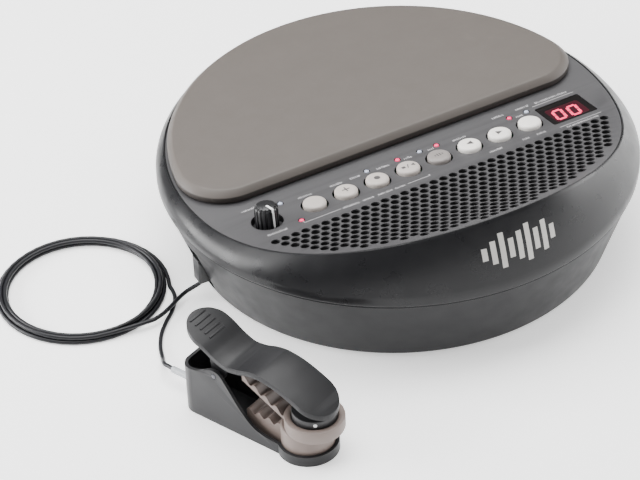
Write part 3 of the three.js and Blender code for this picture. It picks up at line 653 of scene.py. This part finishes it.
def add_top_panel():
    curve = bpy.data.curves.new("panel_outline", "CURVE")
    curve.dimensions = "2D"
    curve.fill_mode = "BOTH"
    curve.extrude = PANEL_T / 2
    curve.resolution_u = 1
    add_loop(curve, circle(PANEL_R, 0, RIM_Y, 240))
    add_loop(curve, circle(WELL_R, *KNOB, 64))
    x, y, width, depth = WINDOW
    add_loop(curve, rectangle(width + 2 * GAP, depth + 2 * GAP, x, y, 1.2))
    for i in range(8):
        add_loop(curve, circle(8.2, (i - 3.5) * BUTTON_PITCH, ROW_Y, 48))
    for place in LED_PLACES:
        add_loop(curve, circle(LED_R + 0.55, *place, 24))
    for place in grille_holes():
        add_loop(curve, circle(HOLE_R, *place, 12, 15))
    flat = bpy.data.objects.new("flat_panel", curve)
    scene.collection.objects.link(flat)
    graph = bpy.context.evaluated_depsgraph_get()
    sheet = bpy.data.meshes.new_from_object(flat.evaluated_get(graph))
    bpy.data.objects.remove(flat)
    mesh = bmesh.new()
    mesh.from_mesh(sheet)
    bmesh.ops.remove_doubles(mesh, verts=mesh.verts, dist=0.001)
    bend_to_deck(mesh, -PANEL_T / 2)
    panel = raw("deck_panel", mesh)
    finish(panel, "panel_plastic", stands_for=("top_panel",), sharp=25)
    backing = bmesh.new()
    rows = []
    for y in [GRILLE_Y + 8 - 4.3 * k for k in range(22)]:
        half = math.sqrt(max(0.0, (PANEL_R - 4) ** 2 - (y - RIM_Y) ** 2))
        rows.append([backing.verts.new((half * (a / 12 - 1), y, deck_height(y) - 1.5)) for a in range(25)])
    for row, following in zip(rows, rows[1:]):
        for a in range(24):
            backing.faces.new((row[a], row[a + 1], following[a + 1], following[a]))
    finish(raw("grille_backing", backing), "cone_paper", material=FINISH["grille_black"])
    well = lathe([(WELL_R + 0.05, -0.2), (WELL_R + 0.05, -4.6), (WELL_R - 0.5, -5), (4, -5), (4, -6),
                  (WELL_R + 1.2, -6), (WELL_R + 1.2, -2.6)], 96)
    finish(raw("knob_well", well, on_deck(*KNOB)), "knob_black")


# ---------- pad ----------
def pad_ring(inset, z):
    radius = PAD_R - inset
    corner = PAD_CORNER - inset * 0.6
    corner_y = PAD_EDGE_Y + inset + corner
    corner_x = math.sqrt((radius - corner) ** 2 - (corner_y - RIM_Y) ** 2)
    meet = math.degrees(math.atan2(corner_y - RIM_Y, corner_x))
    edge = PAD_EDGE_Y + inset
    ring = [(-corner_x + 2 * corner_x * i / 48, edge) for i in range(1, 48)]
    ring += arc_points(corner_x, corner_y, corner, -90, meet, 20)
    ring += arc_points(0, RIM_Y, radius, meet, 180 - meet, 220)[1:-1]
    ring += arc_points(-corner_x, corner_y, corner, 180 - meet, 270, 20)
    return [(x, y, z) for x, y in ring]


def add_pad():
    bottom = DECK_Z + GAP
    section = [(1.6, bottom), (0.8, bottom), (0.4, bottom + 0.5), (0, bottom + 1.2), (0, 68),
               (0.05, 68.35), (0.3, 68.7), (1.6, 70.2), (2.9, 71.45), (3.4, 71.8), (3.9, 71.95), (4.8, 72)]
    pad = raw("playing_pad", loft([pad_ring(inset, z) for inset, z in section]))
    finish(pad, "pad_rubber", stands_for=("drum_pad",), sharp=60)


# ---------- controls ----------
def stroke(start, end, width):
    """A flat bar from one point to another."""
    along = (Vector(end) - Vector(start)).normalized() * (width / 2)
    across = Vector((-along.y, along.x))
    a, b = Vector(start), Vector(end)
    return [tuple(a - across), tuple(b - across), tuple(b + across), tuple(a + across)]


def decal(name, outlines, matrix, material, slot, body="root", lift=0.04):
    """Thin printed shapes in a local plane."""
    mesh = bmesh.new()
    for outline in outlines:
        mesh.faces.new([mesh.verts.new((x, y, lift)) for x, y in outline])
    bmesh.ops.triangulate(mesh, faces=mesh.faces)
    obj = raw(name, mesh, matrix)
    return finish(obj, slot, body, material=material)


def key_symbols():
    left = [(-2.1, 0), (2.0, -2.0), (2.0, 2.0)]
    right = [(2.1, 0), (-2.0, -2.0), (-2.0, 2.0)]
    square = [(-4.2, -1.1), (-1.9, -1.1), (-1.9, 1.1), (-4.2, 1.1)]
    play = [(1.8, 0), (4.3, -1.5), (4.3, 1.5)]
    return {
        2: [stroke((-2.5, 0), (2.5, 0), 0.9), stroke((0, -2.5), (0, 2.5), 0.9)],
        3: [circle(1.9, 0, 0, 32)],
        4: [square, stroke((0.7, 1.8), (-0.9, -1.8), 0.6), play],
        5: [stroke((x, -1.7 + abs(x) * 0.4), (x, 1.7 - abs(x) * 0.4), 0.8) for x in (-2.4, -0.8, 0.8, 2.4)],
        6: [left],
        7: [right],
    }


def add_buttons():
    profile = [(0, 2.5), (4.6, 2.47), (5.8, 2.3), (6.5, 1.95), (6.87, 1.4), (BUTTON_R, 0.7), (BUTTON_R, -3.9),
               (3, -3.9), (3, -13), (0, -13)]
    slots = ["key_light"] * 4 + ["key_grey"] + ["key_white"] * 3
    symbols = key_symbols()
    for i, slot in enumerate(slots):
        number = i + 1
        matrix = on_deck((i - 3.5) * BUTTON_PITCH, ROW_Y)
        key = raw(f"key_{number}", lathe(profile, 72), matrix)
        finish(key, slot, f"button_{number}", (f"button_{number}",))
        if number in symbols:
            decal(f"key_symbol_{number}", symbols[number], matrix, INK["print_dark"], slot,
                  f"button_{number}", 2.53)


def add_lamps():
    profile = [(0, 0.5), (LED_R * 0.5, 0.44), (LED_R * 0.85, 0.2), (LED_R, -0.3), (LED_R, -1.2), (0, -1.2)]
    for i, place in enumerate(LED_PLACES):
        slot = "lamp_lit" if i + 1 in LIT_LEDS else "lamp_clear"
        lamp = raw(f"lamp_{i + 1}", lathe(profile, 32), on_deck(*place))
        finish(lamp, slot, stands_for=(f"led_{i + 1}",))


def add_knob():
    ribs = 16
    rings = []
    for z, inset in ((-4.5, 0), (8.9, 0), (9.6, 0.15), (10.2, 0.6)):
        ring = []
        for i in range(ribs):
            for share, radius in ((0.0, 7.0), (0.2, 7.05), (0.42, 7.0), (0.6, 6.4), (0.72, 6.35), (0.86, 6.4)):
                angle = (i + share) / ribs * 2 * math.pi
                ring.append(((radius - inset) * math.cos(angle), (radius - inset) * math.sin(angle), z))
        rings.append(ring)
    rings.append([(p[0] * 0.93, p[1] * 0.93, 10.2) for p in rings[-1]])
    rings.append([(p[0] * 0.985, p[1] * 0.985, 10.8) for p in rings[-1]])
    rings.append([(p[0] * 0.95, p[1] * 0.95, 11.0) for p in rings[-1]])
    place = on_deck(*KNOB)
    knob = raw("knob", loft(rings), place)
    finish(knob, "knob_black", "volume_knob", ("volume_knob",))
    turn = Matrix.Rotation(math.radians(KNOB_POINTER), 4, "Z")
    pointer = raw("knob_pointer", block(1.3, 5.4, 0.35, 0, 3.6, 10.85), place @ turn)
    carve(pointer, "UNION", [raw("tool", block(1.3, 0.5, 12.5, 0, 6.98, -1.4), place @ turn)])
    soften(pointer, 0.1)
    finish(pointer, "key_white", "volume_knob", material=INK["pointer"])


def add_display():
    x, y, width, depth = WINDOW
    place = on_deck(x, y)
    rings = [rectangle(width - 2 * inset, depth - 2 * inset, 0, 0, 1.0) for inset in (0, 0, 0.12, 0.3)]
    heights = (-2.1, -0.05, 0.06, 0.1)
    mesh = loft([[(a, b, h) for a, b in ring] for ring, h in zip(rings, heights)])
    finish(raw("display_cover", mesh, place), "window_smoked", stands_for=("display_window",))
    inner = [rectangle(23, 15.5, -0.5, -1.8, 1.5)]
    decal("display_filter", inner, place, INK["display_red"], "window_smoked", "root", 0.12)
    strokes = []
    for centre_x, centre_y in ((-6.3, -2.4), (3.5, -3.2)):
        strokes += zero_digit(centre_x, centre_y)
    decal("display_digits", strokes, place, INK["digit"], "lamp_lit", "root", 0.16)


def zero_digit(cx, cy):
    """The six outer bars of a seven-bar digit, leaning a little."""
    w, h, thick, lean = 2.8, 5.0, 1.8, 0.14
    corners = [(-w, -h), (w, -h), (w, 0), (w, h), (-w, h), (-w, 0)]
    bars = []
    for a, b in zip(corners, corners[1:] + corners[:1]):
        start, end = Vector(a), Vector(b)
        trim = (end - start).normalized() * 0.3
        points = []
        for px, py in stroke(start + trim, end - trim, thick):
            points.append((cx + px + py * lean, cy + py))
        bars.append(points)
    return bars


def add_prints():
    """Printed lines and rows of short ticks on the panel, in place of its labels."""
    marks = []
    lines = [(-88, -64, -44.2), (-19, -4, -44.2), (85.5, 114.5, -45.2), (85.5, 114.5, -15.2)]
    for start, end, y in lines:
        marks.append(((start + end) / 2, y, end - start, 0.4))
    for x in (-88, -4):
        marks.append((x, -43.4, 0.4, 1.6))
    rows = [(-57, -44.2, 11), (-45.5, -44.2, 7), (-34, -44.2, 10), (-24, -44.2, 7),
            (-105, -43.5, 13), (-73.5, -19, 9), (-52.5, -19, 8), (-40, -19, 6), (-21, -19, 8), (-4, -19, 5),
            (12, -19, 4), (31.5, -19, 9), (74, -19, 5), (73.5, -43.5, 6), (42, -43.5, 9), (63, -43.5, 5),
            (-104.3, -12.5, 15), (63, -12.2, 8), (80, -12.2, 9), (100, -12.6, 22), (100, -47.6, 22)]
    for x, y, length in rows:
        place = x - length / 2
        while place < x + length / 2:
            tall = rng.uniform(1.2, 1.9)
            marks.append((place, y + (tall - 1.9) / 2, rng.uniform(0.35, 0.5), tall))
            if rng.random() < 0.45:
                marks.append((place + 0.45, y + 0.7 * rng.choice((-1, 0, 1)), 0.6, 0.35))
            place += rng.uniform(0.85, 1.25)
    mesh = bmesh.new()
    for x, y, width, depth in marks:
        corners = rectangle(width, depth, x, y)
        lifted = [(a, b, deck_height(b) + 0.05) for a, b in corners]
        mesh.faces.new([mesh.verts.new(p) for p in lifted])
    finish(raw("panel_prints", mesh), "key_light", material=INK["print_light"])


# ---------- sockets, switch, feet and battery door ----------
def add_sockets():
    for name, angle, bore in JACKS:
        sleeve = lathe([(bore, 113), (bore, 130.3), (bore + 0.3, 130.6), (3.6, 130.6), (3.9, 130.3),
                        (4.1, 129.6), (4.5, 129.6), (4.5, 113)], 64)
        bmesh.ops.transform(sleeve, matrix=Matrix.Rotation(math.pi / 2, 4, "Y"), verts=sleeve.verts)
        obj = raw(f"{name}_body", sleeve, at_side(angle, JACK_Z))
        back = raw("tool", block(11, 13, 12, 110, 0, -6), at_side(angle, JACK_Z))
        carve(obj, "UNION", [back])
        finish(obj, "socket_black", stands_for=(name,))
    side = at_side(PLUG_ANGLE, JACK_Z)
    sleeve = lathe([(2.2, 105), (2.2, 124), (4.5, 124), (4.5, 105)], 64)
    bmesh.ops.transform(sleeve, matrix=Matrix.Rotation(math.pi / 2, 4, "Y"), verts=sleeve.verts)
    finish(raw("sensor_jack_body", sleeve, side), "socket_black", stands_for=("clip_jack",))
    slider = raw("switch_slider", block(3.4, 5.6, 4.2, 133.4, -2, -2.1), at_side(SWITCH_ANGLE, JACK_Z))
    carve(slider, "UNION", [raw("tool", block(13.5, 8, 3, 126, -2, -1.5), at_side(SWITCH_ANGLE, JACK_Z))])
    soften(slider, 0.35)
    finish(slider, "socket_black", "power_switch", ("power_switch",))


def add_plug():
    side = at_side(PLUG_ANGLE, JACK_Z)
    housing = raw("sensor_plug", block(9.5, 9.4, 15.5, 130.2, 0, -8.5), side)
    soften(housing, 1.3, 4)
    tip = raw("tool", rod_along("X", 1.9, 106, 126), side)
    crown = raw("tool", block(8, 7.6, 2, 131, 0, 6.5), side)
    carve(housing, "UNION", [tip, crown])
    return finish(housing, "socket_black", stands_for=("clip_plug",))


def add_underside():
    for i, angle in enumerate(FOOT_ANGLES):
        place = DRUM @ Matrix.Translation((*polar(FOOT_R, angle), 0))
        profile = [(0, 0.5), (5.5, 0.5), (6, 0), (8, 0), (8.7, 0.3), (9, 1), (9, BASE_Z + 1.2), (0, BASE_Z + 1.2)]
        finish(raw(f"rubber_foot_{i + 1}", lathe(profile, 72), place), "foot_rubber", stands_for=(f"foot_{i + 1}",))
    x, y, width, depth = BATTERY
    door = raw("battery_door", block(width - 6.6, depth - 6.6, 2, x, y, BASE_Z))
    grooves = [raw("tool", block(26, 1.2, 0.6, x, y - 38 + 3 * i, BASE_Z - 0.1)) for i in range(5)]
    carve(door, "DIFFERENCE", grooves)
    finish(door, "lower_shell", "battery_cover", ("battery_cover",))


# ---------- clip ----------
LEVER_LINE = [
    (-82, 59.5), (-72, 56.6), (-62, 52.6), (-54, 48), (-46, 45), (-38, 45.8), (-30, 48.2), (-22, 49.2),
    (-12, 47.8), (-2, 44.4), (8, 39.8), (19.4, 34.2)]


LEVER_T = 3.4


def lever_strip(top, bottom, width):
    line = spline(LEVER_LINE, 12)
    outline = [(x, z - top) for x, z in line] + [(x, z - bottom) for x, z in reversed(line)]
    return prism(outline, -width / 2, width / 2, "Y")


def lever_plan():
    return (arc_points(JAW_X, 0, 14, -90, 90, 32) + [(-38, 13.5)]
            + arc_points(-65.5, 0, 14, 90, 270, 32) + [(-38, -13.5)])


def clip_plan(inset):
    half, back, corner = CLIP_HALF - inset, -80 + inset, 9 - inset
    return ([(0, -half), (0, half)] + arc_points(back + corner, half - corner, corner, 90, 180, 10)
            + arc_points(back + corner, corner - half, corner, 180, 270, 10))


def add_clip_base():
    side = [(-84, 0), (0.5, 0), (0.5, 6.3)] + spline(
        [(-12, 6.8), (-21, 7.8), (-28, 10.5), (-35.5, 17.5), (-42, 26), (-47, 33), (-50, 36.5), (-52.5, 37.6),
         (-56, 37.6), (-60, 35.8), (-66, 32.6), (-74, 31.2), (-84, 30.7)], 6)
    base = raw("clip_body", prism(side, -20, 20, "Y"), CLIP_FRAME)
    carve(base, "INTERSECT", [raw("tool", prism(clip_plan(0), -1, 50), CLIP_FRAME)])
    carve(base, "UNION", [raw("tool", rod_along("Z", CUP_R, 0, 6.5, 96), CLIP_FRAME)])
    tools = [
        raw("tool", rod_along("Z", CUP_R - 1.8, 2.5, 10, 96), CLIP_FRAME),
        raw("tool", prism(clip_plan(2), 2.5, 50), CLIP_FRAME),
        raw("tool", rod_along("Y", 1.8, -30, 30, 32, (PIVOT[0], 0, PIVOT[1])), CLIP_FRAME),
        raw("tool", rod_along("X", 2.3, -86, -74, 32, (0, 0, 9)), CLIP_FRAME)]
    carve(base, "DIFFERENCE", tools)
    soften(base, 0.45)
    finish(base, "clip_plastic", stands_for=("clip_base",), sharp=32)


def add_clip_lever():
    lever = raw("clip_arm", lever_strip(0, LEVER_T, 40), CLIP_FRAME)
    carve(lever, "INTERSECT", [raw("tool", prism(lever_plan(), 20, 70), CLIP_FRAME)])
    soften(lever, 0.7, 3, 50)
    ear = [(-60, 48.5), (-58.5, 34)] + arc_points(PIVOT[0], PIVOT[1], 4.5, 180, 360, 14) + [(-49.5, 34), (-46, 43.5)]
    tools = [raw("tool", prism(ear, side * 9.2 - 1.2, side * 9.2 + 1.2, "Y"), CLIP_FRAME) for side in (-1, 1)]
    boss = raw("tool", rod_along("Z", 4, 31, 42, 32, (JAW_X, 0, 0)), CLIP_FRAME)
    carve(boss, "INTERSECT", [raw("tool", lever_strip(1, 12, 40), CLIP_FRAME)])
    carve(lever, "UNION", tools + [boss])
    pin_hole = raw("tool", rod_along("Y", 1.8, -30, 30, 32, (PIVOT[0], 0, PIVOT[1])), CLIP_FRAME)
    carve(lever, "DIFFERENCE", [pin_hole])
    finish(lever, "clip_plastic", "clip_lever", ("clip_lever",), sharp=32)
    add_grip_ribs()


def add_grip_ribs():
    """Raised ribs under the thumb."""
    line = spline(LEVER_LINE, 6)
    for i in range(5):
        x = -76 + 3.6 * i
        index = min(range(len(line)), key=lambda k: abs(line[k][0] - x))
        (x0, z0), (x1, z1) = line[index - 1], line[index + 1]
        tilt = math.atan2(z1 - z0, x1 - x0)
        place = CLIP_FRAME @ Matrix.Translation((line[index][0], 0, line[index][1])) @ Matrix.Rotation(-tilt, 4, "Y")
        half = 6.5
        rib = raw(f"grip_rib_{i + 1}", block(1.3, 2 * half, 0.7, 0, 0, -0.2), place)
        soften(rib, 0.3, 3)
        finish(rib, "clip_plastic", "clip_lever")


def toothed(start, end, start_z, end_z, thickness, wave):
    count = 64
    upper = []
    for i in range(count + 1):
        t = i / count
        z = start_z + (end_z - start_z) * t + wave * math.sin(t * 8 * math.pi)
        upper.append((start + (end - start) * t, z))
    return prism(upper + [(end, end_z - thickness), (start, start_z - thickness)], -9, 9, "Y")


def add_liners():
    pad = raw("lower_jaw_pad", lathe([(0, 3), (15, 3), (15.2, 3.6), (15.2, 16.4), (14.9, 17.1), (14.3, 17.5),
                                      (0, 17.5)], 96), CLIP_FRAME)
    carve(pad, "UNION", [raw("tool", toothed(-36, -8, 16, 15, 12.4, 1.4), CLIP_FRAME)])
    finish(pad, "liner_rubber", stands_for=("lower_liner",), sharp=32)
    ring = raw("upper_jaw_ring", lathe([(0, 18), (16.2, 18), (16.8, 18.3), (17, 18.9), (17, 25.1), (16.8, 25.7),
                                        (16.2, 26), (14, 26), (13.3, 25.7), (13.1, 25.1), (13.1, 20.2),
                                        (0, 20.2)], 96), CLIP_FRAME @ Matrix.Translation((JAW_X, 0, 0)))
    carve(ring, "UNION", [raw("tool", toothed(-38, -9, 38.5, 24, 3, 1.4), CLIP_FRAME)])
    finish(ring, "liner_rubber", "clip_lever", ("upper_liner",), sharp=32)


def add_clip_details():
    place = CLIP_FRAME @ Matrix.Translation((JAW_X, 0, 0))
    housing = lathe([(0, 20.5), (12, 20.5), (12.6, 20.8), (12.8, 21.4), (12.8, 29.8), (12.6, 30.4), (12, 30.6),
                     (0, 30.6)], 96)
    finish(raw("sensor_housing", housing, place), "socket_black", "clip_lever", ("piezo_housing",))
    pin = rod_along("Y", 1.5, -14.7, 14.7, 32, (PIVOT[0], 0, PIVOT[1]))
    pin = soften(raw("hinge_pin", pin, CLIP_FRAME), 0.3)
    finish(pin, "steel", stands_for=("clip_pin",), material=INK["dark_steel"])
    spot = place @ Matrix.Rotation(math.radians(-50), 4, "Z")
    dot = raw("housing_dot", rod_along("X", 1.1, 12.2, 12.95, 32, (0, 0, 28.3)), spot)
    finish(dot, "key_white", "clip_lever", material=INK["pointer"])
    points = [(-70, -5.5, 4.2), (-62, -5.5, 18)]
    turns, per_turn, radius = 4, 24, 3.1
    for i in range(turns * per_turn + 1):
        angle = math.pi - i / per_turn * 2 * math.pi
        points.append((PIVOT[0] + radius * math.cos(angle), -5 + 10 * i / (turns * per_turn),
                       PIVOT[1] + radius * math.sin(angle)))
    spring = wire("torsion_spring", points, 1.1, CLIP_FRAME)
    finish(spring, "steel", stands_for=("clip_spring",))
    leg = wire("spring_leg", [points[-1], (-60.5, 5.5, 41), (-65.5, 5.5, 48.6)], 1.1, CLIP_FRAME)
    finish(leg, "steel", "clip_lever")
    sleeve = lathe([(1.6, -98), (1.85, -98), (2.1, -97.6), (2.1, -74), (1.6, -74)], 48)
    bmesh.ops.transform(sleeve, matrix=Matrix.Rotation(math.pi / 2, 4, "Y"), verts=sleeve.verts)
    tube = raw("cord_sleeve", sleeve, CLIP_FRAME @ Matrix.Translation((0, 0, 9)))
    finish(tube, "sleeve_clear", stands_for=("strain_relief",))


# ---------- CAD nodes that stay as they are ----------
def dress_cad_nodes():
    slots = {s["node"]: s["material_slot"] for s in frame["record"]["subparts"]}
    for name, obj in frame["nodes"].items():
        if not obj.hide_render:
            obj.data.materials.clear()
            obj.data.materials.append(FINISH[slots[name]])


def add_floor():
    floor = bpy.data.objects.new("floor", bpy.data.meshes.new("floor"))
    size = 6.0
    floor.data.from_pydata([(-size, -size, 0), (size, -size, 0), (size, size, 0), (-size, size, 0)], [],
                           [(0, 1, 2, 3)])
    floor.data.materials.append(surface("floor_finish", (0.93, 0.93, 0.93), 0.6, 2.0, 0.0, 0.0, Emission_Color=(1, 1, 1, 1),
                                          Emission_Strength=0.7))
    scene.collection.objects.link(floor)


plug = add_plug()
cord_length = add_cord()
add_lower_case()
add_upper_case()
add_front_mark()
add_top_panel()
add_pad()
add_buttons()
add_lamps()
add_knob()
add_display()
add_prints()
add_sockets()
add_underside()
add_clip_base()
add_clip_lever()
add_liners()
add_clip_details()
dress_cad_nodes()
add_floor()
